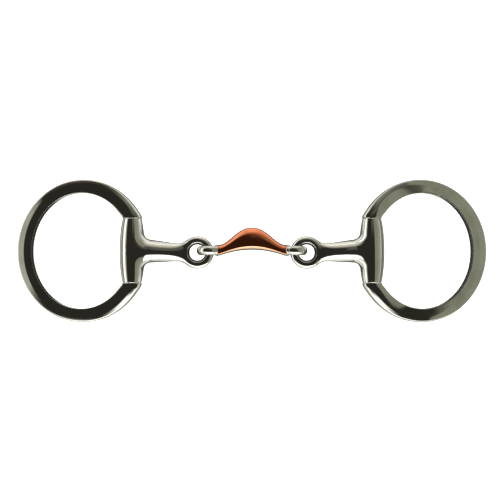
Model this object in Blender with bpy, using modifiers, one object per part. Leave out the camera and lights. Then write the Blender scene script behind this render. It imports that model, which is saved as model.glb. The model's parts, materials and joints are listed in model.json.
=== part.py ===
"""Flat-ring eggbutt snaffle bit with a double-jointed mouthpiece and a copper-covered ported link.

The bit lies flat, mouthpiece along X, with the middle of its overall box at the origin. +X runs to the
right-hand ring, +Y is the side that the port arches to, and +Z points up from the table. Each cheek hinges
on a pin along Y, and each cannon folds about the link loop that holds its eye.
"""

import math

import bmesh
import bpy
from mathutils import Matrix, Vector

MM = 0.001
GAP = 0.3 * MM  # clearance between neighbouring pieces

# Driving dimensions. "along" is a distance in X from the middle of the bit, "out" one from the barrel's axis.
MOUTH_WIDTH = 127.0 * MM  # 5 inch mouth, measured between the arms' fillets on the two barrels
BARREL_PAST_MOUTH = 8.4 * MM  # from the mouth's end to the barrel's axis
BARREL_ALONG = MOUTH_WIDTH / 2 + BARREL_PAST_MOUTH
BARREL_HALF_LENGTH = 19.35 * MM
BARREL_END_R = 5.65 * MM
BARREL_MIDDLE_R = 7.5 * MM
BARREL_FULLNESS = 2.4  # exponent of the egg profile: higher keeps the middle full for longer
BARREL_CHAMFER = 0.35 * MM

PIN_R = 2.5 * MM
PIN_REACH = 3.5 * MM  # how far a pin stands into the ring's shoulder
BORE_R = PIN_R + GAP

EYE_ALONG = 33.0 * MM
EYE_OUTER_R = 9.6 * MM
EYE_HOLE_R = 4.85 * MM

# The arm's oval sections: distance out from the barrel's axis, half height in Y, half thickness in Z
ARM_STATIONS = (
    (3.0 * MM, 7.3 * MM, 7.0 * MM),
    (9.5 * MM, 7.3 * MM, 6.9 * MM),
    (12.9 * MM, 6.55 * MM, 6.3 * MM),
    (17.7 * MM, 6.0 * MM, 5.9 * MM),
    (22.5 * MM, 5.5 * MM, 5.4 * MM),
    (26.5 * MM, 5.2 * MM, 4.9 * MM),
    (28.7 * MM, 5.45 * MM, 4.3 * MM),
    (30.4 * MM, 6.0 * MM, 3.6 * MM),
    (31.6 * MM, 6.6 * MM, 2.7 * MM),
    (32.5 * MM, 7.0 * MM, 1.3 * MM),
)

LOOP_ALONG = 25.7 * MM
LOOP_OUTER_R = 7.5 * MM
LOOP_HOLE_R = 3.1 * MM
LOOP_FULLNESS = 1.22  # thickness in Y over thickness in the loop's own plane
LINK_SHOULDER_ALONG = 20.7 * MM  # flat face of each loop against the copper's end
LINK_SHOULDER_LENGTH = 1.6 * MM
LINK_SHOULDER_SCALES = (0.98, 0.9)  # of the copper's end section, at the shoulder's face and at its far end
CORE_BITE = 0.6 * MM  # how far the core bar runs on into each shoulder

PORT_HALF_LENGTH = LINK_SHOULDER_ALONG - GAP
PORT_TOP_END = 3.6 * MM
PORT_TOP_RISE = 10.35 * MM
PORT_CREST_HALF_LENGTH = 19.2 * MM
PORT_CREST_FLATNESS = 1.15  # the crest's wave: higher widens its top and steepens its flanks
PORT_CREST_FULLNESS = 0.85
PORT_BASE_MIDDLE = 0.6 * MM
PORT_BASE_DROP = 3.9 * MM
PORT_END_HALF_WIDTH = 5.8 * MM
PORT_MIDDLE_HALF_WIDTH = 7.4 * MM
PORT_SQUARENESS = 2.6  # exponent of its superelliptic section
CORE_R = 2.0 * MM

# Each ring is a band between two ellipses. "out" centres are measured from the barrel's axis.
RING_OUTER_OUT = 29.7 * MM
RING_OUTER_HALF = Vector((40.2 * MM, 42.95 * MM))
RING_INNER_OUT = 30.7 * MM
RING_INNER_HALF = Vector((30.1 * MM, 34.75 * MM))
RING_HALF_THICKNESS = 2.7 * MM
RING_EDGE_R = 1.7 * MM
RING_SHOULDER_Y = BARREL_HALF_LENGTH + GAP
RING_SHOULDER_HALF_WIDTH = 5.75 * MM
RING_SHOULDER_HALF_THICKNESS = 5.5 * MM
RING_SWELL_LENGTH = 30.0 * MM  # the band grows thick and round over this distance as it nears the barrel
RING_PINCH_LENGTH = 5.0 * MM  # and settles to the shoulder's width over this height
RING_ROUNDEST = 0.96  # the roundest corner, as a share of the section's smaller half

# Facets
RING_STEPS = 40
CORNER_STEPS = 3
BARREL_STEPS = 10
TURN_STEPS = 24
EYE_STEPS = 28
PORT_STEPS = 20
PORT_SIDES = 16
TUBE_SIDES = 12
CORE_POINTS = 13
ARM_SIDES = 20

STEEL = (0.62, 0.61, 0.58, 1.0)
COPPER = (0.80, 0.36, 0.20, 1.0)


def clear_scene():
    for obj in list(bpy.data.objects):
        bpy.data.objects.remove(obj)


def new_collection(name):
    collection = bpy.data.collections.new(name)
    bpy.context.scene.collection.children.link(collection)
    return collection


def new_material(name, colour, roughness):
    material = bpy.data.materials.new(name)
    material.use_nodes = True
    shader = material.node_tree.nodes["Principled BSDF"]
    shader.inputs["Base Color"].default_value = colour
    shader.inputs["Metallic"].default_value = 1.0
    shader.inputs["Roughness"].default_value = roughness
    material.diffuse_color = colour
    return material


def add_object(name, data, collection):
    obj = bpy.data.objects.new(name, data)
    collection.objects.link(obj)
    return obj


def finish_piece(obj, name, origin):
    """Gives the object its name, a material of its own and an origin, and shades it smooth."""
    obj.name = name
    obj.data.transform(Matrix.Translation(-origin))
    obj.location = origin
    colour, roughness = (COPPER, 0.22) if "copper" in name else (STEEL, 0.15)
    obj.data.materials.clear()
    obj.data.materials.append(new_material(name, colour, roughness))
    obj.data.shade_smooth()
    obj.data.set_sharp_from_angle(angle=math.radians(40))
    return obj


def loft(name, sections, collection, closed=False):
    """One solid through sections that all hold the same number of points. An open loft gets two end caps."""
    bm = bmesh.new()
    rings = [[bm.verts.new(point) for point in section] for section in sections]
    pairs = list(zip(rings, rings[1:]))
    if closed:
        pairs.append((rings[-1], rings[0]))
    for near, far in pairs:
        for i, corner in enumerate(near):
            after = (i + 1) % len(near)
            bm.faces.new((corner, near[after], far[after], far[i]))
    if not closed:
        bm.faces.new(rings[0])
        bm.faces.new(rings[-1])
    bmesh.ops.recalc_face_normals(bm, faces=bm.faces)
    mesh = bpy.data.meshes.new(name)
    bm.to_mesh(mesh)
    bm.free()
    return add_object(name, mesh, collection)


def turned(name, profile, collection, turn):
    """A turned solid from (radius, height) points listed from the top down, then turned off the Z axis."""
    mesh = bpy.data.meshes.new(name)
    points = [(radius, 0.0, height) for radius, height in profile]
    mesh.from_pydata(points, [(i, i + 1) for i in range(len(points) - 1)], [])
    obj = add_object(name, mesh, collection)
    screw = obj.modifiers.new("Screw", "SCREW")
    screw.axis = "Z"
    screw.steps = TURN_STEPS
    screw.render_steps = TURN_STEPS
    screw.use_merge_vertices = True
    screw.merge_threshold = 0.00001
    solid = evaluated_copy(obj, name, collection)
    solid.data.transform(turn)
    return solid


def evaluated_copy(obj, name, collection):
    """The object's evaluated shape as a plain welded mesh in world space. The original is removed."""
    graph = bpy.context.evaluated_depsgraph_get()
    mesh = bpy.data.meshes.new_from_object(obj.evaluated_get(graph))
    mesh.transform(obj.matrix_world)
    bm = bmesh.new()
    bm.from_mesh(mesh)
    bmesh.ops.remove_doubles(bm, verts=bm.verts, dist=0.00001)
    bmesh.ops.recalc_face_normals(bm, faces=bm.faces)
    bm.to_mesh(mesh)
    bm.free()
    bpy.data.objects.remove(obj)
    return add_object(name, mesh, collection)


def combine(obj, operation, tool):
    """Joins, cuts or trims the object with the tool for good."""
    modifier = obj.modifiers.new(operation.title(), "BOOLEAN")
    modifier.operation = operation
    modifier.solver = "EXACT"
    modifier.object = tool
    graph = bpy.context.evaluated_depsgraph_get()
    mesh = bpy.data.meshes.new_from_object(obj.evaluated_get(graph))
    obj.modifiers.clear()
    obj.data = mesh
    tool.hide_render = True
    tool.display_type = "WIRE"


def cylinder_along_y(name, radius, half_length, centre, collection):
    bm = bmesh.new()
    turn = Matrix.Translation(centre) @ Matrix.Rotation(math.pi / 2, 4, "X")
    bmesh.ops.create_cone(
        bm, cap_ends=True, segments=TURN_STEPS, radius1=radius, radius2=radius,
        depth=2 * half_length, matrix=turn,
    )
    mesh = bpy.data.meshes.new(name)
    bm.to_mesh(mesh)
    bm.free()
    return add_object(name, mesh, collection)


def torus(name, centre, outer_r, hole_r, tube_fullness, axis, collection):
    """A torus whose tube is stretched along the torus's own axis, which is Y or Z."""
    bpy.ops.mesh.primitive_torus_add(
        major_segments=EYE_STEPS,
        minor_segments=TUBE_SIDES,
        major_radius=(outer_r + hole_r) / 2,
        minor_radius=(outer_r - hole_r) / 2,
    )
    made = bpy.context.object
    made.data.transform(Matrix.Diagonal((1.0, 1.0, tube_fullness, 1.0)))
    if axis == "Y":
        made.data.transform(Matrix.Rotation(math.pi / 2, 4, "X"))
    made.data.transform(Matrix.Translation(centre))
    solid = add_object(name, made.data, collection)
    bpy.data.objects.remove(made)
    return solid


def barrel_radius(y):
    fullness = 1 - (abs(y) / BARREL_HALF_LENGTH) ** BARREL_FULLNESS
    return BARREL_END_R + (BARREL_MIDDLE_R - BARREL_END_R) * fullness


def barrel_profile():
    """Radius and height from the top of the barrel to its bottom, with a small chamfer at each end."""
    heights = [
        BARREL_HALF_LENGTH * math.cos(math.pi * i / BARREL_STEPS) for i in range(1, BARREL_STEPS)
    ]
    side = [(barrel_radius(h), h) for h in heights]
    top = BARREL_HALF_LENGTH
    below = top - BARREL_CHAMFER
    start = [(0.0, top), (BARREL_END_R - BARREL_CHAMFER, top), (barrel_radius(below), below)]
    end = [(radius, -height) for radius, height in reversed(start)]
    return start + side + end


def arm_sections(side):
    """Ellipses from the barrel's axis to the eye: the round arm flattens and widens into the eye's wall."""
    sections = []
    for out, half_height, half_thickness in ARM_STATIONS:
        x = side * (BARREL_ALONG - out)
        angles = [2 * math.pi * i / ARM_SIDES for i in range(ARM_SIDES)]
        sections.append(
            [Vector((x, half_height * math.sin(a), half_thickness * math.cos(a))) for a in angles]
        )
    return sections


def make_cannon(name, side, parts, tools):
    """Barrel, arm and eye, forged as one piece: the arm runs from the barrel in towards the bit's middle."""
    axis = Vector((side * BARREL_ALONG, 0.0, 0.0))
    to_axis = Matrix.Translation(axis)
    upright = Matrix.Rotation(-math.pi / 2, 4, "X")
    cannon = turned(name, barrel_profile(), parts, to_axis @ upright)
    arm = loft(name + "_arm", arm_sections(side), tools)
    eye_centre = Vector((side * EYE_ALONG, 0.0, 0.0))
    eye = torus(name + "_eye", eye_centre, EYE_OUTER_R, EYE_HOLE_R, 1.0, "Z", tools)
    bore = cylinder_along_y(name + "_bore", BORE_R, RING_SHOULDER_Y + PIN_REACH, axis, tools)
    combine(cannon, "UNION", arm)
    combine(cannon, "UNION", eye)
    combine(cannon, "DIFFERENCE", bore)
    fold_axis = Vector((side * (EYE_ALONG - (EYE_OUTER_R + EYE_HOLE_R) / 2), 0.0, 0.0))
    return finish_piece(cannon, name, fold_axis)


def rounded_band(near, far, half_thickness, corner_r):
    """A rounded rectangle from the near point to the far point, both at mid thickness."""
    middle = (near + far) / 2
    across = (far - near) / 2
    half_width = across.length
    across.normalize()
    up = Vector((0.0, 0.0, 1.0))
    points = []
    for corner in range(4):
        sign_across = (1, -1, -1, 1)[corner]
        sign_up = (1, 1, -1, -1)[corner]
        centre = (
            middle
            + across * (sign_across * (half_width - corner_r))
            + up * (sign_up * (half_thickness - corner_r))
        )
        for step in range(CORNER_STEPS + 1):
            angle = math.pi / 2 * (corner + step / CORNER_STEPS)
            points.append(centre + (across * math.cos(angle) + up * math.sin(angle)) * corner_r)
    return points


def swell(middle):
    """1 at the ring's shoulders, easing to 0 where the band has its even section."""
    shoulder = Vector((0.0, math.copysign(RING_SHOULDER_Y, middle.y), 0.0))
    return max(0.0, 1.0 - (middle - shoulder).length / RING_SWELL_LENGTH) ** 2


def ring_edge(centre_out, half, turn):
    """A point of an ellipse, turn being -1 at one shoulder, 0 at the far side and 1 at the other."""
    reach = math.pi - math.asin(RING_SHOULDER_Y / half.y)
    angle = reach * turn
    return Vector((centre_out + half.x * math.cos(angle), half.y * math.sin(angle), 0.0))


def ring_sections():
    """Sections of the right-hand ring about its barrel's axis, from one shoulder round to the other."""
    sections = []
    for step in range(RING_STEPS + 1):
        turn = 2 * step / RING_STEPS - 1
        outer = ring_edge(RING_OUTER_OUT, RING_OUTER_HALF, turn)
        inner = ring_edge(RING_INNER_OUT, RING_INNER_HALF, turn)
        if outer.x < RING_OUTER_OUT:
            pinch = max(0.0, 1 - (abs(outer.y) - RING_SHOULDER_Y) / RING_PINCH_LENGTH) ** 2
            outer.x += pinch * (-RING_SHOULDER_HALF_WIDTH - outer.x)
            inner.x += pinch * (RING_SHOULDER_HALF_WIDTH - inner.x)
        grow = swell((outer + inner) / 2)
        extra = grow * (RING_SHOULDER_HALF_THICKNESS - RING_HALF_THICKNESS)
        half_thickness = RING_HALF_THICKNESS + extra
        roundest = RING_ROUNDEST * min(half_thickness, (outer - inner).length / 2)
        corner_r = RING_EDGE_R + (roundest - RING_EDGE_R) * grow**0.5
        sections.append(rounded_band(inner, outer, half_thickness, min(corner_r, roundest)))
    return sections


def rest_tilt():
    """How far a ring drops about its barrel until its far edge meets the table that the barrel lies on."""
    reach = RING_OUTER_OUT + RING_OUTER_HALF.x - RING_EDGE_R
    return math.asin((BARREL_MIDDLE_R - RING_HALF_THICKNESS) / reach)


def make_ring(name, side, parts, tools):
    """The flat oval band, with a blind socket in each shoulder for the hinge pin's ends."""
    tilt = Matrix.Rotation(rest_tilt(), 4, "Y")
    mirror = Matrix.Diagonal((side, 1.0, 1.0, 1.0))
    place = Matrix.Translation((side * BARREL_ALONG, 0.0, 0.0)) @ mirror @ tilt
    sections = [[place @ point for point in section] for section in ring_sections()]
    ring = loft(name, sections, parts)
    for end in (1, -1):
        centre = Vector((side * BARREL_ALONG, end * RING_SHOULDER_Y, 0.0))
        socket = cylinder_along_y(name + "_socket", BORE_R, PIN_REACH, centre, tools)
        combine(ring, "DIFFERENCE", socket)
    return finish_piece(ring, name, Vector((side * BARREL_ALONG, 0.0, 0.0)))


def make_pin(name, side, parts):
    axis = Vector((side * BARREL_ALONG, 0.0, 0.0))
    half_length = RING_SHOULDER_Y + PIN_REACH - GAP
    pin = cylinder_along_y(name, PIN_R, half_length, axis, parts)
    return finish_piece(pin, name, axis)


def port_top(x):
    share = min(1.0, abs(x) / PORT_CREST_HALF_LENGTH) ** PORT_CREST_FLATNESS
    wave = (1 + math.cos(math.pi * share)) / 2
    return PORT_TOP_END + PORT_TOP_RISE * wave**PORT_CREST_FULLNESS


def port_base(x):
    return PORT_BASE_MIDDLE - PORT_BASE_DROP * (x / PORT_HALF_LENGTH) ** 2


def port_half_width(x):
    bulge = math.cos(math.pi / 2 * x / PORT_HALF_LENGTH) ** 2
    return PORT_END_HALF_WIDTH + (PORT_MIDDLE_HALF_WIDTH - PORT_END_HALF_WIDTH) * bulge


def squircle(angle, power):
    """A point of a unit superellipse."""
    c, s = math.cos(angle), math.sin(angle)
    return math.copysign(abs(c) ** (2 / power), c), math.copysign(abs(s) ** (2 / power), s)


def port_section(x):
    middle = (port_top(x) + port_base(x)) / 2
    half_height = (port_top(x) - port_base(x)) / 2
    points = []
    for i in range(PORT_SIDES):
        across, up = squircle(2 * math.pi * (i + 0.5) / PORT_SIDES, PORT_SQUARENESS)
        points.append(Vector((x, middle + half_height * up, port_half_width(x) * across)))
    return points


def core_bar(name, radius, half_length, parts):
    """The arched bar from loop to loop, along the middle of the port's height."""
    curve = bpy.data.curves.new(name, "CURVE")
    curve.dimensions = "3D"
    curve.bevel_depth = radius
    curve.bevel_resolution = 2
    curve.use_fill_caps = True
    spline = curve.splines.new("POLY")
    spline.points.add(CORE_POINTS - 1)
    for i, point in enumerate(spline.points):
        x = half_length * (2 * i / (CORE_POINTS - 1) - 1)
        inside = max(-PORT_HALF_LENGTH, min(PORT_HALF_LENGTH, x))
        point.co = (x, (port_top(inside) + port_base(inside)) / 2, 0.0, 1.0)
    return evaluated_copy(add_object(name, curve, parts), name, parts)


def make_port(name, parts, tools):
    """The copper body, with a tunnel for the link's core bar."""
    stations = [
        PORT_HALF_LENGTH * (2 * i / PORT_STEPS - 1) for i in range(PORT_STEPS + 1)
    ]
    port = loft(name, [port_section(x) for x in stations], parts)
    tunnel = core_bar(name + "_tunnel", CORE_R + GAP, LINK_SHOULDER_ALONG + CORE_BITE, tools)
    combine(port, "DIFFERENCE", tunnel)
    return finish_piece(port, name, Vector((0.0, 0.0, 0.0)))


def shoulder_section(side, x, shrink):
    """The port's end section again, a little smaller, where the loop's root carries it on."""
    end = port_section(PORT_HALF_LENGTH)
    return [Vector((side * x, point.y * shrink, point.z * shrink)) for point in end]


def trimming_block(name, side, tools):
    """A cube that takes away everything on the copper's side of the loop's flat shoulder."""
    half = LOOP_OUTER_R + LINK_SHOULDER_LENGTH
    middle = Vector((side * (LINK_SHOULDER_ALONG - half), 0.0, 0.0))
    bm = bmesh.new()
    bmesh.ops.create_cube(bm, size=2 * half, matrix=Matrix.Translation(middle))
    mesh = bpy.data.meshes.new(name)
    bm.to_mesh(mesh)
    bm.free()
    return add_object(name, mesh, tools)


def make_link(name, parts, tools):
    """Two loops joined by the core bar, each loop cut flat where the copper's end meets it."""
    link = core_bar(name, CORE_R, LINK_SHOULDER_ALONG + CORE_BITE, parts)
    for side in (-1, 1):
        centre = Vector((side * LOOP_ALONG, 0.0, 0.0))
        loop = torus(name + "_loop", centre, LOOP_OUTER_R, LOOP_HOLE_R, LOOP_FULLNESS, "Y", tools)
        combine(loop, "DIFFERENCE", trimming_block(name + "_block", side, tools))
        face_scale, far_scale = LINK_SHOULDER_SCALES
        face = shoulder_section(side, LINK_SHOULDER_ALONG, face_scale)
        far = shoulder_section(side, LINK_SHOULDER_ALONG + LINK_SHOULDER_LENGTH, far_scale)
        shoulder = loft(name + "_shoulder", [face, far], tools)
        combine(link, "UNION", loop)
        combine(link, "UNION", shoulder)
    return finish_piece(link, name, Vector((0.0, 0.0, 0.0)))


def main():
    clear_scene()
    parts = new_collection("snaffle_bit")
    tools = new_collection("cutters")
    tools.hide_render = True
    for label, side in (("left", -1), ("right", 1)):
        make_cannon(label + "_cannon", side, parts, tools)
        make_ring(label + "_ring", side, parts, tools)
        make_pin(label + "_hinge_pin", side, parts)
    make_link("center_link", parts, tools)
    make_port("copper_port", parts, tools)


main()
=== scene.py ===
"""The looks of a flat-ring eggbutt snaffle bit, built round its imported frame.

Shapes are worked out in millimetres and scaled to metres when a mesh is made. Each rigid piece stands for one
CAD node and rides on that node's body. "along" is a distance in X from the middle of the bit, "out" one from
a barrel's axis towards its ring, and side is -1 for the left half and 1 for the right.
"""

import json
import math

import bmesh
import bpy
import numpy as np
from mathutils import Matrix, Vector


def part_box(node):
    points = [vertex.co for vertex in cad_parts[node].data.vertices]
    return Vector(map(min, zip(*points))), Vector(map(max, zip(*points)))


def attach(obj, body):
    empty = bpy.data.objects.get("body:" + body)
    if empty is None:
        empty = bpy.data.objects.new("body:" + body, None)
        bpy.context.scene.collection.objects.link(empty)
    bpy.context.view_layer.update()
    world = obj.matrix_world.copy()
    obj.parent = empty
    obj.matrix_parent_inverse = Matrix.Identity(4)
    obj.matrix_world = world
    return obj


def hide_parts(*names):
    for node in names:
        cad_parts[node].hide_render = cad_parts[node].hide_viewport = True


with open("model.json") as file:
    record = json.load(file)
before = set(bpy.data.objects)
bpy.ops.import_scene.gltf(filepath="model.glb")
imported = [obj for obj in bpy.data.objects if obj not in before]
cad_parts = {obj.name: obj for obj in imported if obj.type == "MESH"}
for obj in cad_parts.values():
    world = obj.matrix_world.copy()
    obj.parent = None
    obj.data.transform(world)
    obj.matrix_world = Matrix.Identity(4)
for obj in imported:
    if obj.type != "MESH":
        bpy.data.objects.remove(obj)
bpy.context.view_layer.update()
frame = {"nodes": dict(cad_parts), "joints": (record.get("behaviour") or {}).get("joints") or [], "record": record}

MM = 0.001
SIDES = (("left", -1), ("right", 1))
JOINTS = {joint["name"]: joint for joint in frame["joints"]}
MOUNTS = {mount["name"]: mount for mount in frame["record"]["mounts"]}


def reach(node, axis):
    """The highest coordinate of a CAD node along X, Y or Z, in millimetres."""
    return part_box(node)[1]["XYZ".index(axis)] / MM


# What the frame says
BARREL_ALONG = JOINTS["right_ring_swing"]["pos_m"][0] / MM
BARREL_HALF_LENGTH = reach("right_cannon", "Y")
BARREL_MIDDLE_R = reach("right_cannon", "Z")
RING_HALF_HEIGHT = reach("right_ring", "Y")
RING_TILT = math.asin(MOUNTS["right_ring_face"]["axis"][0])
PIN_R = reach("right_hinge_pin", "X") - BARREL_ALONG
EYE_WIRE_ALONG = JOINTS["right_fold"]["pos_m"][0] / MM
EYE_TUBE_R = EYE_WIRE_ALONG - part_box("right_cannon")[0].x / MM
LOOP_OUTER_R = reach("center_link", "Z")
LOOP_ALONG = reach("center_link", "X") - LOOP_OUTER_R
PORT_HALF_LENGTH = reach("copper_port", "X")
PORT_TOP = reach("copper_port", "Y")
PORT_BASE_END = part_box("copper_port")[0].y / MM
FLOOR_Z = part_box("right_cannon")[0].z / MM

# Clearances and small edges
GAP = 0.3
HINGE_GAP = 0.06  # what shows between a barrel's end and the ring's shoulder
BARREL_CHAMFER = 0.3
RING_CHAMFER = 0.16
NECK_CHAMFER = 0.2
BORE_R = PIN_R + GAP
SOCKET_DEPTH = 3.5

# Cannons
BARREL_END_R = 5.65
BARREL_FULLNESS = 2.4  # exponent of the egg profile: higher keeps the middle full for longer
EYE_OUTER_R = 9.8
EYE_HOLE_R = 4.7
EYE_MEAN_R = (EYE_OUTER_R + EYE_HOLE_R) / 2
EYE_WIRE_HALF_WIDTH = (EYE_OUTER_R - EYE_HOLE_R) / 2
EYE_ALONG = EYE_WIRE_ALONG + EYE_MEAN_R - 0.25
EYE_SINK_SLOPE = math.radians(60.0)  # the hole narrows at this slope towards its middle
EYE_WAIST = 0.2  # half thickness of the hole's narrowest part
EYE_EDGE = 0.35
EYE_DROP = 1.1  # how far the eye's middle lies below the barrel's
EYE_DROP_LENGTH = 34.0
# The arm's sections: distance in from the barrel's axis, half height in Y, half thickness in Z, and the
# exponent of their outline, which is 2 for an oval and less where the arm is ridged
ARM_STATIONS = (
    (0.0, 7.2, 3.2, 2.0),
    (3.0, 7.2, 5.2, 2.0),
    (6.0, 7.2, 6.1, 1.9),
    (11.0, 7.0, 5.9, 1.8),
    (15.5, 6.5, 5.5, 1.75),
    (20.0, 6.05, 4.9, 1.75),
    (24.0, 5.6, 4.1, 1.8),
    (27.5, 5.45, 3.35, 1.9),
    (29.5, 5.6, 2.95, 2.1),
    (31.5, 6.2, 2.6, 2.4),
    (33.2, 6.4, 2.3, 2.6),
)
ARM_SMOOTHING = (-1.2, -0.6, 0.0, 0.6, 1.2)  # distances over which the table of sections is averaged
ARM_FILLET = 4.2
EYE_FILLET = 2.0  # where the arm meets the eye's side
EYE_TOP_FILLET = 0.6  # where it meets the eye's flat top
BORE_SIDES = 48

# Link
LOOP_HOLE_R = 3.1
LOOP_FULLNESS = 1.22  # the loop's thickness in Y over its thickness in its own plane
LINK_FACE_ALONG = PORT_HALF_LENGTH + 0.08
LINK_NECK_LENGTH = 2.2
LINK_NECK_TAPER = 0.04  # what the neck loses of its section, as a share, over each millimetre
LINK_FILLET = 1.3
CORE_R = 2.0
CORE_SIDES = 32
NECK_STEP = 0.15  # how far the neck stays inside the copper's outline

# Copper port
PORT_SIDES = 96
PORT_STEPS = 150
PORT_EDGE = 0.5
PORT_EDGE_STEPS = 4
CORE_STEPS = 40
PORT_TOP_END = 3.6
PORT_CREST_HALF_LENGTH = 19.2
PORT_CREST_FLATNESS = 1.15
PORT_CREST_FULLNESS = 0.85
PORT_BASE_MIDDLE = 0.6
PORT_END_HALF_WIDTH = 5.8
PORT_MIDDLE_HALF_WIDTH = reach("copper_port", "Z")
PORT_WAIST = 0.2  # how far a section's widest line lies below its middle, as a share of its half height
PORT_CROWN_SQUARENESS = 2.35
PORT_BASE_SQUARENESS = 6.0
PORT_BEVEL_START = 0.66  # share of the way from the waist to the base
PORT_BEVEL = 0.6
PORT_BEVEL_CURVE = 1.3
PORT_SHARP_ANGLE = 50.0

# Rings, each a band between two ellipses
RING_SECTIONS = 220
RING_OUTER_OUT = 29.7
RING_OUTER_HALF_WIDTH = 40.2
RING_INNER_OUT = 30.7
RING_INNER_HALF_WIDTH = 30.1
RING_INNER_HALF_HEIGHT = 34.75
RING_HALF_THICKNESS = 2.7
RING_SHOULDER_Y = BARREL_HALF_LENGTH + HINGE_GAP
RING_SHOULDER_HALF_WIDTH = 5.75
RING_SHOULDER_HALF_THICKNESS = 5.5
RING_SWELL_LENGTH = 30.0  # distance from the barrel over which the band thins and flattens
RING_SWELL_POWER = 1.5
RING_SHOULDER_ROUNDNESS = 0.4
RING_PINCH_LENGTH = 5.0
FACE_SHARE_FAR = 0.48  # share of the band's width, from its inner edge, where the ground bevel begins
FACE_SHARE_NEAR = 0.66
FACE_TURN_START = 0.15  # turn from the ring's far side where the first share begins to pass into the second
FACE_TURN_LENGTH = 0.45
BEVEL_SLOPE = math.tan(math.radians(15.0))
BEVEL_SOFTNESS = 0.2
INNER_EDGE = 0.22
OUTER_EDGE = 0.9
EDGE_SQUARENESS = 2.3
EDGE_STEPS = 12
FACE_STEPS = 18

# Meshes
SKIN_STEP = 0.42  # spacing of the meshes that are drawn over a blended form
SKIN_MARGIN = 1.0
SKIN_RELAX_ROUNDS = 12
SKIN_RELAX_PULL = 0.6
SHARP_ANGLE = 35.0


# Mesh code


def add_piece(name, mesh, material, node, body):
    """Links a finished mesh as the piece that stands for one CAD node and rides on its body."""
    mesh.transform(Matrix.Scale(MM, 4))
    mesh.materials.append(material)
    piece = bpy.data.objects.new(name, mesh)
    bpy.context.scene.collection.objects.link(piece)
    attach(piece, body)
    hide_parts(node)
    return piece


def smooth_step(value):
    value = np.clip(value, 0.0, 1.0)
    return value * value * (3 - 2 * value)


def joined(first, second, fillet):
    """The union of two distance fields with a fillet between them."""
    overlap = np.clip(fillet - np.abs(first - second), 0.0, None) / fillet
    return np.minimum(first, second) - overlap * overlap * fillet / 4


def oval(y, z, half_y, half_z, power=2.0):
    """Distance to an ellipse, or to a superellipse of another power, good to first order."""
    tiny = 1e-6
    share_y, share_z = np.abs(y) / half_y, np.abs(z) / half_z
    scaled = (share_y**power + share_z**power) ** (1 / power) + tiny
    steep = np.hypot(share_y ** (power - 1) / half_y, share_z ** (power - 1) / half_z) + tiny
    return (scaled - 1) * scaled ** (power - 1) / steep


def gradient(field, points):
    """Unit normals of the field, and its slope, at the points."""
    reach_out = 0.02
    slopes = []
    for axis in range(3):
        step = np.zeros(3)
        step[axis] = reach_out
        slopes.append((field(points + step) - field(points - step)) / (2 * reach_out))
    slopes = np.stack(slopes, axis=1)
    length = np.linalg.norm(slopes, axis=1, keepdims=True)
    return slopes / length, length[:, 0]


def settle(field, points, rounds):
    """Moves points along the field's gradient until they lie on its surface."""
    for _ in range(rounds):
        normals, slope = gradient(field, points)
        points = points - normals * (field(points) / slope)[:, None]
    return points


def relax(field, points, faces):
    """Evens out the spacing of a skin's points without taking them off the surface."""
    edges = np.concatenate([faces[:, [i, (i + 1) % 4]] for i in range(4)])
    edges = np.unique(np.sort(edges, axis=1), axis=0)
    ends = np.concatenate([edges, edges[:, ::-1]])
    count = np.bincount(ends[:, 0], minlength=len(points))[:, None]
    for _ in range(SKIN_RELAX_ROUNDS):
        total = np.stack(
            [np.bincount(ends[:, 0], points[ends[:, 1], axis], len(points)) for axis in range(3)],
            axis=1,
        )
        pull = total / count - points
        normals = gradient(field, points)[0]
        pull -= normals * np.sum(pull * normals, axis=1, keepdims=True)
        points = settle(field, points + SKIN_RELAX_PULL * pull, 1)
    return settle(field, points, 2)


def skin(field, low, high):
    """Points and quads of the field's zero surface: one point for each grid cell that it passes through."""
    axes = [np.arange(start, end + SKIN_STEP, SKIN_STEP) for start, end in zip(low, high)]
    grid = np.stack(np.meshgrid(*axes, indexing="ij"), axis=-1)
    inside = field(grid.reshape(-1, 3)).reshape(grid.shape[:3]) < 0
    cells = tuple(size - 1 for size in inside.shape)
    filled = np.zeros(cells, int)
    for corner in np.ndindex(2, 2, 2):
        filled += inside[tuple(slice(c, c + n) for c, n in zip(corner, cells))]
    mixed = (filled > 0) & (filled < 8)
    number = np.full(cells, -1)
    number[mixed] = np.arange(mixed.sum())
    points = np.argwhere(mixed) * SKIN_STEP + SKIN_STEP / 2 + np.array(low)
    quads = []
    for axis in range(3):
        second, third = (axis + 1) % 3, (axis + 2) % 3
        change = np.diff(inside.astype(int), axis=axis)
        for sign in (-1, 1):
            at = np.argwhere(change == sign)
            at = at[(at[:, second] > 0) & (at[:, third] > 0)]
            at = at[(at[:, second] < cells[second]) & (at[:, third] < cells[third])]
            around = []
            for back_second, back_third in ((1, 1), (0, 1), (0, 0), (1, 0)):
                cell = at.copy()
                cell[:, second] -= back_second
                cell[:, third] -= back_third
                around.append(number[tuple(cell.T)])
            quads.append(np.stack(around[::-sign], axis=1))
    faces = np.concatenate(quads)
    points = relax(field, settle(field, points, 4), faces)
    return points, faces


def skin_bmesh(field, low, high):
    """The skin in a bmesh. Its faces have material index 1 until shade() has given them their normals."""
    points, faces = skin(field, low, high)
    mesh = bpy.data.meshes.new("skin")
    mesh.from_pydata(points.tolist(), [], faces.tolist())
    bm = bmesh.new()
    bm.from_mesh(mesh)
    bpy.data.meshes.remove(mesh)
    for face in bm.faces:
        face.material_index = 1
        face.smooth = True
    return bm


def to_mesh(bm, name):
    mesh = bpy.data.meshes.new(name)
    bm.to_mesh(mesh)
    bm.free()
    return mesh


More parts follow.
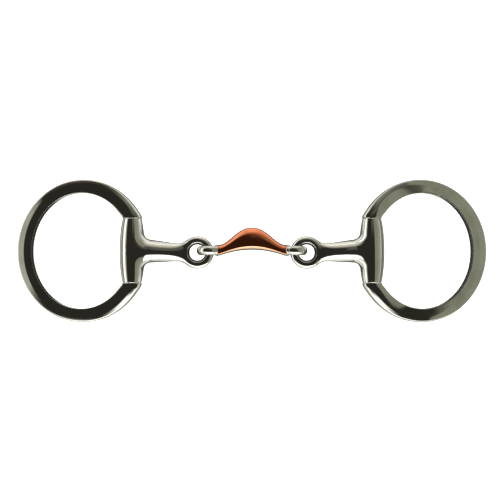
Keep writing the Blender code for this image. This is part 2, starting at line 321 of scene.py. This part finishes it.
def shade(mesh, field):
    """Gives skin faces the field's own normals, for smooth reflections. The others stay as built."""
    mesh.set_sharp_from_angle(angle=math.radians(SHARP_ANGLE))
    corners = np.empty(len(mesh.loops) * 3)
    mesh.corner_normals.foreach_get("vector", corners)
    corners = corners.reshape(-1, 3)
    points = np.empty(len(mesh.vertices) * 3)
    mesh.vertices.foreach_get("co", points)
    normals = gradient(field, points.reshape(-1, 3))[0]
    vertex_of = np.empty(len(mesh.loops), int)
    mesh.loops.foreach_get("vertex_index", vertex_of)
    kind = np.empty(len(mesh.polygons), int)
    mesh.polygons.foreach_get("material_index", kind)
    sides = np.empty(len(mesh.polygons), int)
    mesh.polygons.foreach_get("loop_total", sides)
    on_skin = np.repeat(kind == 1, sides)
    corners[on_skin] = normals[vertex_of[on_skin]]
    mesh.normals_split_custom_set(corners.tolist())
    mesh.polygons.foreach_set("material_index", np.zeros(len(mesh.polygons), int))


def trim(bm, point, normal):
    """Cuts away what lies beyond a plane and returns the open edge that is left."""
    geometry = bm.verts[:] + bm.edges[:] + bm.faces[:]
    cut = bmesh.ops.bisect_plane(
        bm, geom=geometry, dist=0.01, plane_co=point, plane_no=normal, clear_outer=True
    )
    edges = [item for item in cut["geom_cut"] if isinstance(item, bmesh.types.BMEdge)]
    return [edge for edge in edges if edge.is_boundary]


def circle(bm, centre, radius, first, second, count):
    """Points round a circle in the plane of two unit vectors, joined by edges."""
    made = []
    for i in range(count):
        angle = 2 * math.pi * i / count
        made.append(bm.verts.new(centre + (first * math.cos(angle) + second * math.sin(angle)) * radius))
    for i, point in enumerate(made):
        bm.edges.new((point, made[(i + 1) % count]))
    return made


def close_end(bm, rim, move, hole):
    """From an open rim: a chamfer, whose far edge move() places, then a flat face up to the hole's circle."""
    made = bmesh.ops.extrude_edge_only(bm, edges=rim)["geom"]
    for item in made:
        if isinstance(item, bmesh.types.BMVert):
            item.co = move(item.co)
    outline = [item for item in made if isinstance(item, bmesh.types.BMEdge) and item.is_boundary]
    edge_of_hole = [bm.edges.get((point, hole[i - 1])) for i, point in enumerate(hole)]
    made += bmesh.ops.triangle_fill(bm, edges=outline + edge_of_hole, use_beauty=True)["geom"]
    for item in made:
        if isinstance(item, bmesh.types.BMFace):
            item.material_index = 0


def join_rings(bm, near, far):
    """Quads between two rings of bmesh points."""
    for i, point in enumerate(near):
        after = (i + 1) % len(near)
        bm.faces.new((point, near[after], far[after], far[i]))


def loft(bm, rings):
    """Quads between rings, each a list of places. Returns the rings as bmesh points."""
    made = [[bm.verts.new(place) for place in ring] for ring in rings]
    for near, far in zip(made, made[1:]):
        join_rings(bm, near, far)
    return made


def finished(bm, name, angle=SHARP_ANGLE):
    """A lofted mesh, shaded smooth between its sharp edges."""
    bmesh.ops.recalc_face_normals(bm, faces=bm.faces)
    mesh = to_mesh(bm, name)
    mesh.shade_smooth()
    mesh.set_sharp_from_angle(angle=math.radians(angle))
    return mesh


# Cannons


def barrel_radius(y):
    fullness = 1 - (np.abs(y) / BARREL_HALF_LENGTH) ** BARREL_FULLNESS
    return BARREL_END_R + (BARREL_MIDDLE_R - BARREL_END_R) * fullness


def eye_field(inward, up):
    """The eye's section: half an oval on its outer side, a flat top and a narrowing hole on its inner one."""
    outer = oval(inward, up, EYE_WIRE_HALF_WIDTH, EYE_TUBE_R)
    wall = inward - EYE_WIRE_HALF_WIDTH
    sink = wall * math.sin(EYE_SINK_SLOPE) + (up - EYE_WAIST) * math.cos(EYE_SINK_SLOPE)
    inner = -joined(joined(-wall, -sink, EYE_EDGE), EYE_TUBE_R - up, EYE_EDGE)
    return np.where(inward < 0, outer, inner)


def cannon_field(side):
    """Barrel, arm and eye as one blended form."""
    inward, half_heights, half_thicknesses, powers = np.array(ARM_STATIONS).T

    def smooth_table(at, values):
        """Reads a table of stations with rounded corners, by averaging neighbouring reads."""
        reads = [np.interp(at + shift, inward, values) for shift in ARM_SMOOTHING]
        return sum(reads) / len(reads)

    def field(points):
        x, y, z = points[:, 0] * side, points[:, 1], points[:, 2]
        barrel = np.hypot(x - BARREL_ALONG, z) - barrel_radius(y)
        at = BARREL_ALONG - x
        below = y + EYE_DROP * smooth_step(at / EYE_DROP_LENGTH)
        section = [smooth_table(at, values) for values in (half_heights, half_thicknesses, powers)]
        arm = oval(below, z, *section)
        arm = np.maximum(arm, at - inward[-1])
        arm = np.maximum(arm, -at)
        eye = eye_field(EYE_MEAN_R - np.hypot(x - EYE_ALONG, y + EYE_DROP), np.abs(z))
        fillet = EYE_FILLET + (EYE_TOP_FILLET - EYE_FILLET) * smooth_step(np.abs(z) / EYE_TUBE_R)
        return joined(joined(barrel, arm, ARM_FILLET), eye, fillet)

    return field


def make_cannon(label, side, material):
    """Barrel, arm and eye forged as one, with chamfered flat ends on the barrel and a bore for the pin."""
    field = cannon_field(side)
    far = (BARREL_ALONG + BARREL_MIDDLE_R + SKIN_MARGIN) * side
    near = (EYE_ALONG - EYE_OUTER_R - SKIN_MARGIN) * side
    high_y = BARREL_HALF_LENGTH + SKIN_MARGIN
    high_z = BARREL_MIDDLE_R + SKIN_MARGIN
    low = (min(near, far), -high_y, -high_z)
    high = (max(near, far), high_y, high_z)
    bm = skin_bmesh(field, low, high)
    axis = Vector((side * BARREL_ALONG, 0.0, 0.0))
    cut_y = BARREL_HALF_LENGTH - BARREL_CHAMFER
    face_r = barrel_radius(cut_y) - BARREL_CHAMFER
    bores = []
    for end in (-1, 1):
        rim = trim(bm, axis + Vector((0.0, end * cut_y, 0.0)), Vector((0.0, end, 0.0)))
        centre = axis + Vector((0.0, end * BARREL_HALF_LENGTH, 0.0))

        def to_face(point):
            outward = Vector((point.x - axis.x, 0.0, point.z)).normalized()
            return centre + outward * face_r

        bores.append(circle(bm, centre, BORE_R, Vector((1, 0, 0)), Vector((0, 0, 1)), BORE_SIDES))
        close_end(bm, rim, to_face, bores[-1])
    join_rings(bm, *bores)
    bmesh.ops.recalc_face_normals(bm, faces=bm.faces)
    mesh = to_mesh(bm, label + "_cannon_body")
    shade(mesh, field)
    name = label + "_cannon"
    return add_piece(name + "_body", mesh, material, name, name)


# Rings


def ring_edge(centre_out, half_width, half_height, turn):
    """A point of an ellipse, turn being -1 at one shoulder, 0 at the far side and 1 at the other."""
    angle = (math.pi - math.asin(RING_SHOULDER_Y / half_height)) * turn
    return Vector((centre_out + half_width * math.cos(angle), half_height * math.sin(angle), 0.0))


def band_half_section(width, height, face_share):
    """Upper half of the flat band, from its inner wall to its outer one.

    It has a flat face, a ground bevel and round edges.
    """
    power = 2 / EDGE_SQUARENESS
    steepest = 30.0
    inner = min(INNER_EDGE, width / 3)
    outer = min(OUTER_EDGE, width / 3)
    places = []
    for i in range(EDGE_STEPS):
        angle = math.pi / 2 * i / EDGE_STEPS
        places.append((inner * (1 - math.cos(angle) ** power), math.sin(angle) ** power))
    for i in range(FACE_STEPS):
        places.append((inner + (width - inner - outer) * i / FACE_STEPS, 1.0))
    for i in range(EDGE_STEPS + 1):
        angle = math.pi / 2 * (1 - i / EDGE_STEPS)
        sine = max(0.0, math.sin(angle)) ** power
        places.append((width - outer * (1 - max(0.0, math.cos(angle)) ** power), sine))
    section = []
    for across, share in places:
        past = (across - face_share * width) / BEVEL_SOFTNESS
        drop = BEVEL_SLOPE * BEVEL_SOFTNESS * math.log1p(math.exp(min(past, steepest)))
        section.append((across, (height - drop) * share))
    return section


def ring_place(turn):
    """Outer and inner edge of the right ring's band, at mid thickness, in the ring's own flat frame."""
    outer = ring_edge(RING_OUTER_OUT, RING_OUTER_HALF_WIDTH, RING_HALF_HEIGHT, turn)
    inner = ring_edge(RING_INNER_OUT, RING_INNER_HALF_WIDTH, RING_INNER_HALF_HEIGHT, turn)
    if outer.x < RING_OUTER_OUT:
        pinch = max(0.0, 1 - (abs(outer.y) - RING_SHOULDER_Y) / RING_PINCH_LENGTH) ** 2
        outer.x += pinch * (-RING_SHOULDER_HALF_WIDTH - outer.x)
        inner.x += pinch * (RING_SHOULDER_HALF_WIDTH - inner.x)
    return outer, inner


def ring_section(turn):
    """The band's closed section at one place: thick and rounder at the barrel, thin and flat beyond."""
    outer, inner = ring_place(turn)
    shoulder = Vector((0.0, math.copysign(RING_SHOULDER_Y, turn), 0.0))
    from_barrel = ((outer + inner) / 2 - shoulder).length
    swell = float(smooth_step(max(0.0, 1 - from_barrel / RING_SWELL_LENGTH)))
    gain = RING_SHOULDER_HALF_THICKNESS - RING_HALF_THICKNESS
    height = RING_HALF_THICKNESS + gain * swell**RING_SWELL_POWER
    across = outer - inner
    width = across.length
    across.normalize()
    nearing = float(smooth_step((abs(turn) - FACE_TURN_START) / FACE_TURN_LENGTH))
    face_share = FACE_SHARE_FAR + (FACE_SHARE_NEAR - FACE_SHARE_FAR) * nearing
    upper = band_half_section(width, height, face_share)
    ease = RING_SHOULDER_ROUNDNESS * swell
    section = []
    for i, (flat_across, flat_up) in enumerate(upper):
        angle = math.pi * i / (len(upper) - 1)
        round_across = width / 2 * (1 - math.cos(angle))
        round_up = height * math.sin(angle)
        section.append((
            flat_across + ease * (round_across - flat_across),
            flat_up + ease * (round_up - flat_up),
        ))
    lower = [(place, -up) for place, up in reversed(section[1:-1])]
    return [inner + across * place + Vector((0.0, 0.0, up)) for place, up in section + lower]


def make_ring(label, side, material):
    """The flat oval band with round shoulders, each chamfered at the barrel and drilled for the pin."""
    rings = [ring_section(2 * i / RING_SECTIONS - 1) for i in range(RING_SECTIONS + 1)]
    ends = {}
    for end, shoulder in ((-1, rings[0]), (1, rings[-1])):
        middle = Vector((0.0, end * RING_SHOULDER_Y, 0.0))
        face, socket, bottom = [], [], []
        for point in shoulder:
            outward = Vector((point.x, 0.0, point.z))
            face.append(middle + outward * (1 - RING_CHAMFER / outward.length))
            socket.append(middle + outward.normalized() * BORE_R)
            bottom.append(socket[-1] + Vector((0.0, end * SOCKET_DEPTH, 0.0)))
        ends[end] = [bottom, socket, face]
    for ring, end in ((rings[0], -1), (rings[-1], 1)):
        for point in ring:
            point.y = end * (RING_SHOULDER_Y + RING_CHAMFER)
    bm = bmesh.new()
    made = loft(bm, ends[-1] + rings + ends[1][::-1])
    bm.faces.new(made[0])
    bm.faces.new(made[-1])
    place = Matrix.Translation((side * BARREL_ALONG, 0.0, 0.0))
    place = place @ Matrix.Diagonal((side, 1.0, 1.0, 1.0)) @ Matrix.Rotation(RING_TILT, 4, "Y")
    bm.transform(place)
    mesh = finished(bm, label + "_ring_band")
    return add_piece(label + "_ring_band", mesh, material, label + "_ring", label + "_cheek")


# Link and port


def port_top(x):
    share = min(1.0, abs(x) / PORT_CREST_HALF_LENGTH) ** PORT_CREST_FLATNESS
    wave = (1 + math.cos(math.pi * share)) / 2
    return PORT_TOP_END + (PORT_TOP - PORT_TOP_END) * wave**PORT_CREST_FULLNESS


def port_base(x):
    return PORT_BASE_MIDDLE - (PORT_BASE_MIDDLE - PORT_BASE_END) * (x / PORT_HALF_LENGTH) ** 2


def port_middle(x):
    return (port_top(x) + port_base(x)) / 2


def port_half_width(x):
    bulge = math.cos(math.pi / 2 * x / PORT_HALF_LENGTH) ** 2
    return PORT_END_HALF_WIDTH + (PORT_MIDDLE_HALF_WIDTH - PORT_END_HALF_WIDTH) * bulge


def port_section(x, shrink=0.0):
    """A section of the copper: square towards its base, rounder towards its crest."""
    half_height = (port_top(x) - port_base(x)) / 2 - shrink
    half_width = port_half_width(x) - shrink
    waist = port_middle(x) - PORT_WAIST * half_height
    points = []
    for i in range(PORT_SIDES):
        angle = 2 * math.pi * i / PORT_SIDES
        c, s = math.cos(angle), math.sin(angle)
        power = 2 / (PORT_CROWN_SQUARENESS if s > 0 else PORT_BASE_SQUARENESS)
        up = half_height * (1 + math.copysign(PORT_WAIST, s)) * math.copysign(abs(s) ** power, s)
        across = half_width * math.copysign(abs(c) ** power, c)
        if s < 0:
            past = max(0.0, abs(s) ** power - PORT_BEVEL_START)
            across *= 1 - PORT_BEVEL * past**PORT_BEVEL_CURVE
        points.append(Vector((x, waist + up, across)))
    return points


def hole_ring(x, radius, count):
    """A circle round the core's line, in the plane across X."""
    angles = [2 * math.pi * i / count for i in range(count)]
    middle = port_middle(max(-PORT_HALF_LENGTH, min(PORT_HALF_LENGTH, x)))
    return [Vector((x, middle + radius * math.sin(a), radius * math.cos(a))) for a in angles]


def make_port(material):
    """The arched copper body, slightly rounded at its ends, with a tunnel for the link's core bar."""
    inset = PORT_HALF_LENGTH - PORT_EDGE
    near_end = [hole_ring(-PORT_HALF_LENGTH, CORE_R + GAP, PORT_SIDES)]
    for i in range(PORT_EDGE_STEPS + 1):
        angle = math.pi / 2 * i / PORT_EDGE_STEPS
        ring = port_section(-inset, PORT_EDGE * (1 - math.sin(angle)))
        for point in ring:
            point.x = -inset - PORT_EDGE * math.cos(angle)
        near_end.append(ring)
    body = [port_section(inset * (2 * i / PORT_STEPS - 1)) for i in range(1, PORT_STEPS)]
    far_end = [[Vector((-p.x, p.y, p.z)) for p in ring] for ring in near_end[::-1]]
    tunnel = []
    for i in range(1, CORE_STEPS):
        tunnel.append(hole_ring(PORT_HALF_LENGTH * (1 - 2 * i / CORE_STEPS), CORE_R + GAP, PORT_SIDES))
    bm = bmesh.new()
    made = loft(bm, near_end + body + far_end + tunnel)
    join_rings(bm, made[-1], made[0])
    mesh = finished(bm, "copper_port_body", PORT_SHARP_ANGLE)
    return add_piece("copper_port_body", mesh, material, "copper_port", "link")


def loop_field(points):
    """Each loop: a wire ring, and the neck that joins it to the copper's end."""
    x, y, z = np.abs(points[:, 0]), points[:, 1], points[:, 2]
    wire_r = (LOOP_OUTER_R - LOOP_HOLE_R) / 2
    from_wire = np.hypot(x - LOOP_ALONG, z) - (LOOP_OUTER_R + LOOP_HOLE_R) / 2
    wire = oval(y, from_wire, wire_r * LOOP_FULLNESS, wire_r)
    past = x - LINK_FACE_ALONG
    slim = 1 - LINK_NECK_TAPER * np.clip(past, 0.0, None)
    half_height = (port_top(PORT_HALF_LENGTH) - port_base(PORT_HALF_LENGTH)) / 2 - NECK_STEP
    half_width = PORT_END_HALF_WIDTH - NECK_STEP
    neck = oval(y - port_middle(PORT_HALF_LENGTH), z, half_height * slim, half_width * slim)
    return joined(np.maximum(neck, past - LINK_NECK_LENGTH), wire, LINK_FILLET)


def make_link(material):
    """Two loops and the core bar between them, with a flat face round the bar at each end of the copper."""
    high_z = LOOP_OUTER_R + SKIN_MARGIN
    low = (LINK_FACE_ALONG - 2 * SKIN_MARGIN, -LOOP_OUTER_R, -high_z)
    high = (LOOP_ALONG + LOOP_OUTER_R + SKIN_MARGIN, LOOP_OUTER_R, high_z)
    bm = skin_bmesh(loop_field, low, high)
    centre = Vector((LINK_FACE_ALONG, port_middle(PORT_HALF_LENGTH), 0.0))
    rim = trim(bm, Vector((LINK_FACE_ALONG + NECK_CHAMFER, 0.0, 0.0)), Vector((-1.0, 0.0, 0.0)))

    def to_face(point):
        outward = Vector((0.0, point.y - centre.y, point.z))
        return centre + outward * (1 - NECK_CHAMFER / outward.length)

    hole = circle(bm, centre, CORE_R, Vector((0, 0, 1)), Vector((0, 1, 0)), CORE_SIDES)
    close_end(bm, rim, to_face, hole)
    copied = bmesh.ops.duplicate(bm, geom=bm.verts[:] + bm.edges[:] + bm.faces[:])
    for item in copied["geom"]:
        if isinstance(item, bmesh.types.BMVert):
            item.co.x = -item.co.x
    bar = [hole]
    for i in range(1, CORE_STEPS):
        places = hole_ring(LINK_FACE_ALONG * (1 - 2 * i / CORE_STEPS), CORE_R, CORE_SIDES)
        bar.append([bm.verts.new(place) for place in places])
    bar.append([copied["vert_map"][point] for point in hole])
    for near, far in zip(bar, bar[1:]):
        join_rings(bm, near, far)
    bmesh.ops.recalc_face_normals(bm, faces=bm.faces)
    mesh = to_mesh(bm, "center_link_body")
    shade(mesh, loop_field)
    return add_piece("center_link_body", mesh, material, "center_link", "link")


# Materials. Scales are in cycles a metre, depths in metres, and spans are ranges of a texture's value.


HAZE_SCALE = (90.0, 90.0, 90.0)
WAVE_SCALE = (70.0, 70.0, 70.0)
STAIN_SPAN = (0.35, 0.75)
HAZE_SPAN = (0.4, 0.8)
LINE_SPAN = (0.45, 0.75)
LINE_ROUGHNESS = 0.03
LINE_DEPTH = 0.000004
# Span over which the painted highlight comes in on sides facing -Y
PAINTED_HIGHLIGHT_SPAN = (-0.35, -0.65)  # of a normal's Y

STEEL = (0.66, 0.655, 0.62, 1.0)
STAINED_STEEL = (0.56, 0.55, 0.51, 1.0)
COPPER = (0.86, 0.26, 0.105, 1.0)
TARNISHED_COPPER = (0.72, 0.19, 0.075, 1.0)
# Paler copper painted on the sides facing -Y as a painted highlight
PAINTED_HIGHLIGHT_COPPER = (0.75, 0.48, 0.31, 1.0)


def add_node(tree, kind, **settings):
    node = tree.nodes.new(kind)
    for name, value in settings.items():
        setattr(node, name, value)
    return node


def feed(tree, socket, value):
    """Sets a socket to a plain value, or links it to another node's output."""
    if isinstance(value, bpy.types.NodeSocket):
        tree.links.new(value, socket)
    else:
        socket.default_value = value


def noise(tree, place, stretch, detail):
    """Noise from 0 to 1 whose grain is stretched by a scale for each axis, in cycles a metre."""
    mapping = add_node(tree, "ShaderNodeMapping")
    feed(tree, mapping.inputs["Vector"], place)
    mapping.inputs["Scale"].default_value = stretch
    texture = add_node(tree, "ShaderNodeTexNoise")
    feed(tree, texture.inputs["Vector"], mapping.outputs["Vector"])
    texture.inputs["Scale"].default_value = 1.0
    texture.inputs["Detail"].default_value = detail
    return texture.outputs["Fac"]


def ranged(tree, value, span, low=0.0, high=1.0):
    """Eases from low to high as the value goes from the span's start to its end."""
    node = add_node(tree, "ShaderNodeMapRange", interpolation_type="SMOOTHSTEP")
    feed(tree, node.inputs["Value"], value)
    for name, number in zip(("From Min", "From Max", "To Min", "To Max"), (*span, low, high)):
        node.inputs[name].default_value = number
    return node.outputs["Result"]


def mixed(tree, share, first, second):
    """A colour between two others."""
    node = add_node(tree, "ShaderNodeMix", data_type="RGBA")
    feed(tree, node.inputs["Factor"], share)
    feed(tree, node.inputs["A"], first)
    feed(tree, node.inputs["B"], second)
    return node.outputs["Result"]


def computed(tree, operation, *values):
    """The result of a Math node."""
    node = add_node(tree, "ShaderNodeMath", operation=operation)
    for socket, value in zip(node.inputs, values):
        feed(tree, socket, value)
    return node.outputs["Value"]


def bumped(tree, height, depth, below):
    """Adds a relief of the given depth in metres to the normals below it."""
    node = add_node(tree, "ShaderNodeBump")
    feed(tree, node.inputs["Height"], height)
    node.inputs["Distance"].default_value = depth
    if below is not None:
        feed(tree, node.inputs["Normal"], below)
    return node.outputs["Normal"]


def polished_metal(name, colour, stain, gloss, dull, grain, wave_depth, painted_highlight=None):
    """Polished metal: soft waves left by the wheel, buffing lines, and haze in places.

    Gloss and dull are its roughness where it is clear and where it is hazy. The lines run across the axis for
    which grain is highest. The last argument, when given, is a paler colour painted on the sides that face -Y:
    a painted highlight where bright light falls on them.
    """
    material = bpy.data.materials.new(name)
    material.use_nodes = True
    tree = material.node_tree
    shader = tree.nodes["Principled BSDF"]
    shader.inputs["Metallic"].default_value = 1.0
    place = add_node(tree, "ShaderNodeTexCoord").outputs["Object"]
    haze = noise(tree, place, HAZE_SCALE, 3.0)
    lines = noise(tree, place, grain, 2.0)
    waves = noise(tree, place, WAVE_SCALE, 1.0)
    toned = mixed(tree, ranged(tree, haze, STAIN_SPAN), colour, stain)
    # Paints the given paler colour on the sides facing -Y: a painted highlight
    if painted_highlight is not None:
        facing = add_node(tree, "ShaderNodeSeparateXYZ")
        feed(tree, facing.inputs["Vector"], add_node(tree, "ShaderNodeTexCoord").outputs["Normal"])
        toned = mixed(tree, ranged(tree, facing.outputs["Y"], PAINTED_HIGHLIGHT_SPAN), toned, painted_highlight)
    feed(tree, shader.inputs["Base Color"], toned)
    hazy = ranged(tree, haze, HAZE_SPAN, gloss, dull)
    lined = ranged(tree, lines, LINE_SPAN, 0.0, LINE_ROUGHNESS)
    feed(tree, shader.inputs["Roughness"], computed(tree, "ADD", hazy, lined))
    normal = bumped(tree, waves, wave_depth, None)
    normal = bumped(tree, lines, LINE_DEPTH, normal)
    feed(tree, shader.inputs["Normal"], normal)
    return material


def make_materials():
    """The metals by name."""
    cannon = polished_metal(
        "polished_cannon_steel",
        STEEL,
        STAINED_STEEL,
        gloss=0.05,
        dull=0.11,
        grain=(500.0, 2600.0, 500.0),
        wave_depth=0.0001,
    )
    ring = polished_metal(
        "polished_ring_steel",
        STEEL,
        STAINED_STEEL,
        gloss=0.03,
        dull=0.09,
        grain=(900.0, 900.0, 300.0),
        wave_depth=0.00008,
    )
    link = polished_metal(
        "polished_link_steel",
        STEEL,
        STAINED_STEEL,
        gloss=0.05,
        dull=0.12,
        grain=(400.0, 2200.0, 900.0),
        wave_depth=0.00008,
    )
    pin = polished_metal(
        "turned_pin_steel",
        STEEL,
        STAINED_STEEL,
        gloss=0.16,
        dull=0.26,
        grain=(200.0, 4000.0, 200.0),
        wave_depth=0.00002,
    )
    copper = polished_metal(
        "polished_copper",
        COPPER,
        TARNISHED_COPPER,
        gloss=0.12,
        dull=0.24,
        grain=(600.0, 2400.0, 900.0),
        wave_depth=0.00016,
        # Painted highlight: paler copper on the sides facing -Y
        painted_highlight=PAINTED_HIGHLIGHT_COPPER,
    )
    lacquer = copper.node_tree.nodes["Principled BSDF"].inputs
    lacquer["Coat Weight"].default_value = 0.6
    lacquer["Coat Roughness"].default_value = 0.08
    return {"cannon": cannon, "ring": ring, "link": link, "pin": pin, "copper": copper}


# Studio, in metres


CAMERA_AIM = Vector((-0.0012, 0.0004, 0.0))
CAMERA_PLACE = Vector((-0.0012, -0.02, 0.59))
VIEW_WIDTH = 0.3
CEILING_HEIGHT = 0.585
CEILING_HALF = 5.0
TABLE_HALF = 4.0
TABLE_DROP = 0.12  # the table's depth below the bit, which leaves room for its halves to fold downwards
MIRRORED_DROP = 0.0005  # the same for the light that metal finds when it mirrors the table

# The ceiling's parts: where each one begins and where it has taken over from the one before
DUSK_X = (-0.06, 0.0)
DUSK_Y = (0.08, 0.3)
GREEN_SLANT = 0.2  # how the green part's edge leans, in X over Y
GREEN_EDGE = (0.29, 0.33)
BRIGHT_GREEN_X = (0.5, 1.3)
SIDE_START = 0.2  # X beyond which the bright sides draw apart, to leave more of the green
SIDE_SLOPE = 0.8
CREAM_Y = (0.42, 1.1)
WHITE_Y = (1.6, 3.2)
LAMP_Y = (-0.42, -0.6)
HAZE_X = (-0.70, -0.80)
WHITE_X = (-0.92, -1.45)

# The mirrored table's parts. It is bright under the mouthpiece, where the bit doesn't shade it
COVER_DISTANCE = 0.03
COVER_SPAN = (0.8, 1.0)  # of the share of the space overhead that the bit leaves open
DULL_FROM_MIDDLE = (0.052, 0.064)
LEFT_X = (-0.086, -0.094)
SHADE_FROM_MIDDLE = (0.112, 0.120)
DULL_END_FROM_MIDDLE = (0.1345, 0.138)

SHADE = (0.032, 0.030, 0.025, 1.0)
DUSK = (0.13, 0.135, 0.115, 1.0)
HAZE = (0.52, 0.52, 0.44, 1.0)
GREEN = (0.31, 0.32, 0.245, 1.0)
BRIGHT_GREEN = (0.42, 0.43, 0.33, 1.0)
CREAM = (0.85, 0.80, 0.68, 1.0)
WHITE = (1.9, 1.9, 1.8, 1.0)
LAMP = (2.7, 2.7, 2.55, 1.0)
TABLE_OPEN = (1.3, 1.3, 1.22, 1.0)
TABLE_LEFT = (0.70, 0.69, 0.62, 1.0)
TABLE_DULL = (0.32, 0.325, 0.27, 1.0)
TABLE_SHADE = (0.05, 0.05, 0.045, 1.0)


def add_card(name, half, place, material):
    """A large level card of the studio."""
    bm = bmesh.new()
    bmesh.ops.create_grid(bm, x_segments=1, y_segments=1, size=half)
    card = bpy.data.objects.new(name, to_mesh(bm, name))
    card.data.materials.append(material)
    card.location = place
    bpy.context.scene.collection.objects.link(card)
    return card


def glowing(name):
    """An emission material, with its tree, its emission node and the X and Y of a point on its card."""
    material = bpy.data.materials.new(name)
    material.use_nodes = True
    tree = material.node_tree
    tree.nodes.clear()
    emission = add_node(tree, "ShaderNodeEmission")
    output = add_node(tree, "ShaderNodeOutputMaterial")
    tree.links.new(emission.outputs["Emission"], output.inputs["Surface"])
    split = add_node(tree, "ShaderNodeSeparateXYZ")
    tree.links.new(add_node(tree, "ShaderNodeTexCoord").outputs["Object"], split.inputs["Vector"])
    return material, tree, emission, split.outputs["X"], split.outputs["Y"]


def make_ceiling():
    """What the metal mirrors from above: a dark middle, green towards +X and bright on the other sides."""
    material, tree, emission, x, y = glowing("ceiling")
    rightward = computed(tree, "MAXIMUM", computed(tree, "SUBTRACT", x, SIDE_START), 0.0)
    apart = computed(tree, "MULTIPLY", rightward, SIDE_SLOPE)
    above = computed(tree, "SUBTRACT", y, apart)
    below = computed(tree, "ADD", y, apart)
    slanted = computed(tree, "MULTIPLY_ADD", y, GREEN_SLANT, x)
    dusk = computed(tree, "MULTIPLY", ranged(tree, x, DUSK_X), ranged(tree, y, DUSK_Y))
    colour = mixed(tree, dusk, SHADE, DUSK)
    for place, span, next_colour in (
        (slanted, GREEN_EDGE, GREEN),
        (x, BRIGHT_GREEN_X, BRIGHT_GREEN),
        (above, CREAM_Y, CREAM),
        (above, WHITE_Y, WHITE),
        (below, LAMP_Y, LAMP),
        (x, HAZE_X, HAZE),
        (x, WHITE_X, WHITE),
    ):
        colour = mixed(tree, ranged(tree, place, span), colour, next_colour)
    feed(tree, emission.inputs["Color"], colour)
    ceiling = add_card("ceiling", CEILING_HALF, (0.0, 0.0, CEILING_HEIGHT), material)
    ceiling.visible_camera = False


def make_floor():
    """A white table, and the dull light that polished metal finds when it mirrors the table under the bit."""
    material = bpy.data.materials.new("white_table")
    material.use_nodes = True
    shader = material.node_tree.nodes["Principled BSDF"]
    shader.inputs["Base Color"].default_value = (0.85, 0.85, 0.85, 1.0)
    shader.inputs["Roughness"].default_value = 0.9
    shader.inputs["Emission Color"].default_value = (1.0, 1.0, 0.99, 1.0)
    shader.inputs["Emission Strength"].default_value = 0.95
    table = add_card("table", TABLE_HALF, (0.0, 0.0, FLOOR_Z * MM - TABLE_DROP), material)
    table.visible_glossy = False
    table.visible_shadow = False
    material, tree, emission, x, _ = glowing("table_reflection")
    from_middle = computed(tree, "ABSOLUTE", x)
    cover = add_node(tree, "ShaderNodeAmbientOcclusion")
    cover.inputs["Distance"].default_value = COVER_DISTANCE
    colour = mixed(tree, ranged(tree, cover.outputs["AO"], COVER_SPAN), TABLE_SHADE, TABLE_OPEN)
    for place, span, next_colour in (
        (from_middle, DULL_FROM_MIDDLE, TABLE_DULL),
        (x, LEFT_X, TABLE_LEFT),
        (from_middle, SHADE_FROM_MIDDLE, TABLE_SHADE),
        (from_middle, DULL_END_FROM_MIDDLE, TABLE_DULL),
    ):
        colour = mixed(tree, ranged(tree, place, span), colour, next_colour)
    feed(tree, emission.inputs["Color"], colour)
    place = (0.0, 0.0, FLOOR_Z * MM - MIRRORED_DROP)
    reflection = add_card("table_reflection", TABLE_HALF, place, material)
    reflection.visible_camera = False
    reflection.visible_diffuse = False
    reflection.visible_shadow = False


def make_world():
    world = bpy.data.worlds.new("studio")
    world.use_nodes = True
    world.node_tree.nodes["Background"].inputs["Color"].default_value = (0.95, 0.95, 0.93, 1.0)
    world.node_tree.nodes["Background"].inputs["Strength"].default_value = 1.0
    bpy.context.scene.world = world
    bpy.context.scene.view_settings.view_transform = "Standard"


def make_camera():
    data = bpy.data.cameras.new("camera")
    camera = bpy.data.objects.new("camera", data)
    bpy.context.scene.collection.objects.link(camera)
    camera.location = CAMERA_PLACE
    look = CAMERA_AIM - CAMERA_PLACE
    camera.rotation_euler = look.to_track_quat("-Z", "Y").to_euler()
    data.lens = data.sensor_width * look.length / VIEW_WIDTH
    data.clip_start = 0.01
    bpy.context.scene.camera = camera


def main():
    make_camera()
    make_world()
    make_floor()
    make_ceiling()
    materials = make_materials()
    for label, side in SIDES:
        make_cannon(label, side, materials["cannon"])
        make_ring(label, side, materials["ring"])
        pin = frame["nodes"][label + "_hinge_pin"]
        pin.data.materials.clear()
        pin.data.materials.append(materials["pin"])
    make_link(materials["link"])
    make_port(materials["copper"])


main()
